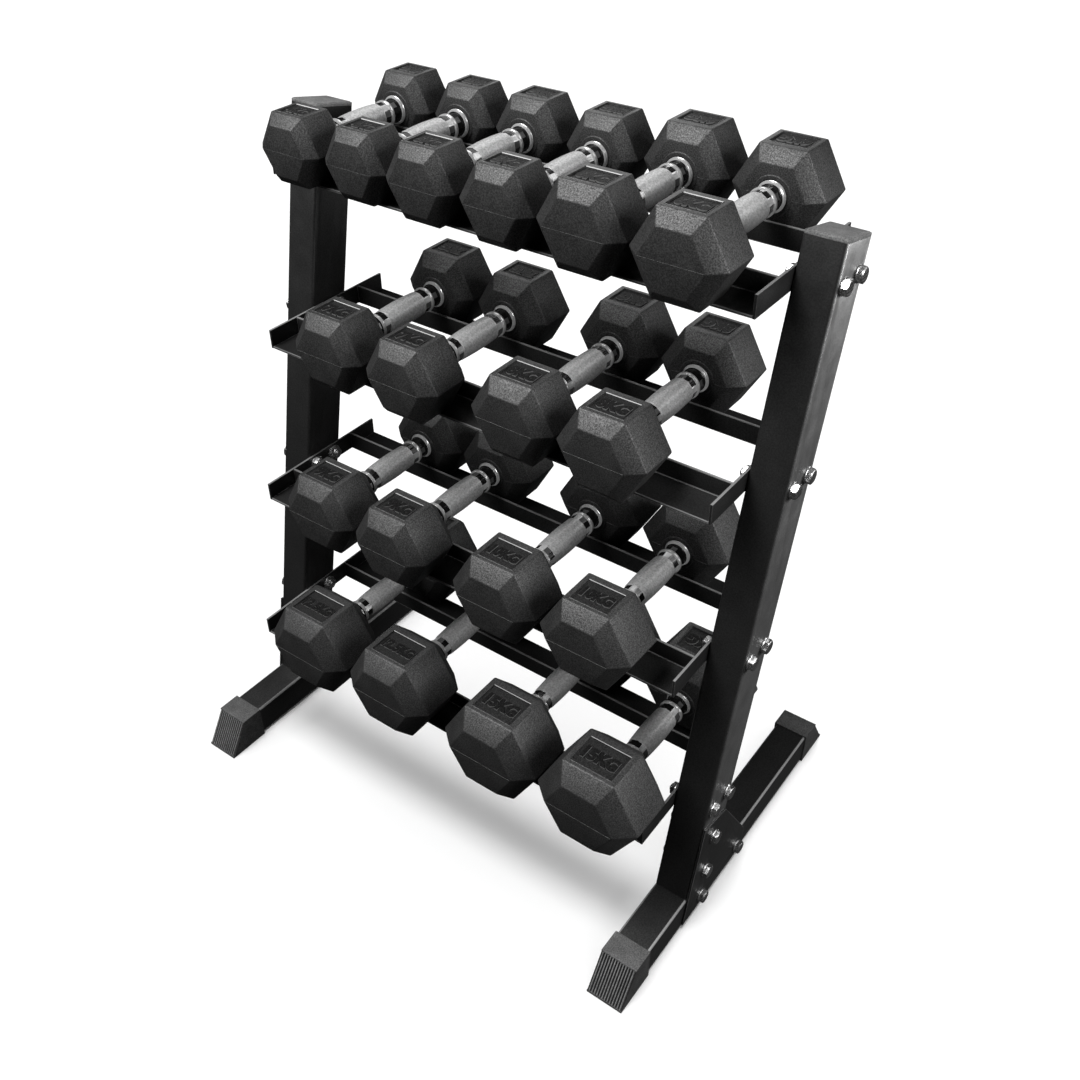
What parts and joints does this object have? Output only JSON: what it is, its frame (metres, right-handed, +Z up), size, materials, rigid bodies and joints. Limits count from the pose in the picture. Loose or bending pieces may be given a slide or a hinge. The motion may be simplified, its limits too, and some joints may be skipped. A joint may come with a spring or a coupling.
{
  "type": "dumbbell rack",
  "caption": "Free-standing steel rack with leaning uprights and level rail trays, loaded with hexagonal rubber dumbbells that lift off.",
  "frame": {"origin": "on the floor, midway between the two legs and midway along them (bottom centre of the overall box)", "axes": "+X to the right as seen from the front, +Y to the rear, +Z up; the front faces -Y"},
  "size_m": [0.7828, 0.574, 0.9412],
  "materials": {
    "powder_coat": "satin black powder coat",
    "foot_plastic": "matt dark grey moulded plastic",
    "cap_plastic": "satin black moulded plastic",
    "zinc_steel": "bright zinc plate",
    "rubber": "matt black moulded rubber",
    "chrome_steel": "polished chrome plate"
  },
  "bodies": {
    "rack": {"left_leg": "powder_coat", "right_leg": "powder_coat", "left_upright": "powder_coat", "right_upright": "powder_coat", "upright_top_caps": "cap_plastic", "front_left_foot": "foot_plastic", "front_right_foot": "foot_plastic", "rear_left_foot": "foot_plastic", "rear_right_foot": "foot_plastic", "left_gusset": "powder_coat", "right_gusset": "powder_coat", "tier_1_front_rail": "powder_coat", "tier_1_rear_rail": "powder_coat", "tier_2_front_rail": "powder_coat", "tier_2_rear_rail": "powder_coat", "tier_3_front_rail": "powder_coat", "tier_3_rear_rail": "powder_coat", "tier_4_front_rail": "powder_coat", "tier_4_rear_rail": "powder_coat", "left_brackets": "powder_coat", "right_brackets": "powder_coat", "hex_bolts": "zinc_steel", "washers": "zinc_steel", "flange_nuts": "zinc_steel"},
    "dumbbell_12_5kg_a": {"dumbbell_12_5kg_a_heads": "rubber", "dumbbell_12_5kg_a_bar": "chrome_steel"},
    "dumbbell_12_5kg_b": {"dumbbell_12_5kg_b_heads": "rubber", "dumbbell_12_5kg_b_bar": "chrome_steel"},
    "dumbbell_15kg_a": {"dumbbell_15kg_a_heads": "rubber", "dumbbell_15kg_a_bar": "chrome_steel"},
    "dumbbell_15kg_b": {"dumbbell_15kg_b_heads": "rubber", "dumbbell_15kg_b_bar": "chrome_steel"},
    "dumbbell_9kg_a": {"dumbbell_9kg_a_heads": "rubber", "dumbbell_9kg_a_bar": "chrome_steel"},
    "dumbbell_9kg_b": {"dumbbell_9kg_b_heads": "rubber", "dumbbell_9kg_b_bar": "chrome_steel"},
    "dumbbell_10kg_a": {"dumbbell_10kg_a_heads": "rubber", "dumbbell_10kg_a_bar": "chrome_steel"},
    "dumbbell_10kg_b": {"dumbbell_10kg_b_heads": "rubber", "dumbbell_10kg_b_bar": "chrome_steel"},
    "dumbbell_7kg_a": {"dumbbell_7kg_a_heads": "rubber", "dumbbell_7kg_a_bar": "chrome_steel"},
    "dumbbell_7kg_b": {"dumbbell_7kg_b_heads": "rubber", "dumbbell_7kg_b_bar": "chrome_steel"},
    "dumbbell_8kg_a": {"dumbbell_8kg_a_heads": "rubber", "dumbbell_8kg_a_bar": "chrome_steel"},
    "dumbbell_8kg_b": {"dumbbell_8kg_b_heads": "rubber", "dumbbell_8kg_b_bar": "chrome_steel"},
    "dumbbell_4kg_a": {"dumbbell_4kg_a_heads": "rubber", "dumbbell_4kg_a_bar": "chrome_steel"},
    "dumbbell_4kg_b": {"dumbbell_4kg_b_heads": "rubber", "dumbbell_4kg_b_bar": "chrome_steel"},
    "dumbbell_5kg_a": {"dumbbell_5kg_a_heads": "rubber", "dumbbell_5kg_a_bar": "chrome_steel"},
    "dumbbell_5kg_b": {"dumbbell_5kg_b_heads": "rubber", "dumbbell_5kg_b_bar": "chrome_steel"},
    "dumbbell_6kg_a": {"dumbbell_6kg_a_heads": "rubber", "dumbbell_6kg_a_bar": "chrome_steel"},
    "dumbbell_6kg_b": {"dumbbell_6kg_b_heads": "rubber", "dumbbell_6kg_b_bar": "chrome_steel"}
  },
  "joints": [
    {"name": "dumbbell_12_5kg_a_lift", "type": "slide", "parent": "rack", "child": "dumbbell_12_5kg_a", "axis": [0, 0, 1], "range_m": [0, 0.08]},
    {"name": "dumbbell_12_5kg_b_lift", "type": "slide", "parent": "rack", "child": "dumbbell_12_5kg_b", "axis": [0, 0, 1], "range_m": [0, 0.08]},
    {"name": "dumbbell_15kg_a_lift", "type": "slide", "parent": "rack", "child": "dumbbell_15kg_a", "axis": [0, 0, 1], "range_m": [0, 0.08]},
    {"name": "dumbbell_15kg_b_lift", "type": "slide", "parent": "rack", "child": "dumbbell_15kg_b", "axis": [0, 0, 1], "range_m": [0, 0.08]},
    {"name": "dumbbell_9kg_a_lift", "type": "slide", "parent": "rack", "child": "dumbbell_9kg_a", "axis": [0, 0, 1], "range_m": [0, 0.1]},
    {"name": "dumbbell_9kg_b_lift", "type": "slide", "parent": "rack", "child": "dumbbell_9kg_b", "axis": [0, 0, 1], "range_m": [0, 0.1]},
    {"name": "dumbbell_10kg_a_lift", "type": "slide", "parent": "rack", "child": "dumbbell_10kg_a", "axis": [0, 0, 1], "range_m": [0, 0.1]},
    {"name": "dumbbell_10kg_b_lift", "type": "slide", "parent": "rack", "child": "dumbbell_10kg_b", "axis": [0, 0, 1], "range_m": [0, 0.1]},
    {"name": "dumbbell_7kg_a_lift", "type": "slide", "parent": "rack", "child": "dumbbell_7kg_a", "axis": [0, 0, 1], "range_m": [0, 0.115]},
    {"name": "dumbbell_7kg_b_lift", "type": "slide", "parent": "rack", "child": "dumbbell_7kg_b", "axis": [0, 0, 1], "range_m": [0, 0.115]},
    {"name": "dumbbell_8kg_a_lift", "type": "slide", "parent": "rack", "child": "dumbbell_8kg_a", "axis": [0, 0, 1], "range_m": [0, 0.115]},
    {"name": "dumbbell_8kg_b_lift", "type": "slide", "parent": "rack", "child": "dumbbell_8kg_b", "axis": [0, 0, 1], "range_m": [0, 0.115]},
    {"name": "dumbbell_4kg_a_lift", "type": "slide", "parent": "rack", "child": "dumbbell_4kg_a", "axis": [0, 0, 1], "range_m": [0, 0.25]},
    {"name": "dumbbell_4kg_b_lift", "type": "slide", "parent": "rack", "child": "dumbbell_4kg_b", "axis": [0, 0, 1], "range_m": [0, 0.25]},
    {"name": "dumbbell_5kg_a_lift", "type": "slide", "parent": "rack", "child": "dumbbell_5kg_a", "axis": [0, 0, 1], "range_m": [0, 0.25]},
    {"name": "dumbbell_5kg_b_lift", "type": "slide", "parent": "rack", "child": "dumbbell_5kg_b", "axis": [0, 0, 1], "range_m": [0, 0.25]},
    {"name": "dumbbell_6kg_a_lift", "type": "slide", "parent": "rack", "child": "dumbbell_6kg_a", "axis": [0, 0, 1], "range_m": [0, 0.25]},
    {"name": "dumbbell_6kg_b_lift", "type": "slide", "parent": "rack", "child": "dumbbell_6kg_b", "axis": [0, 0, 1], "range_m": [0, 0.25]}
  ]
}
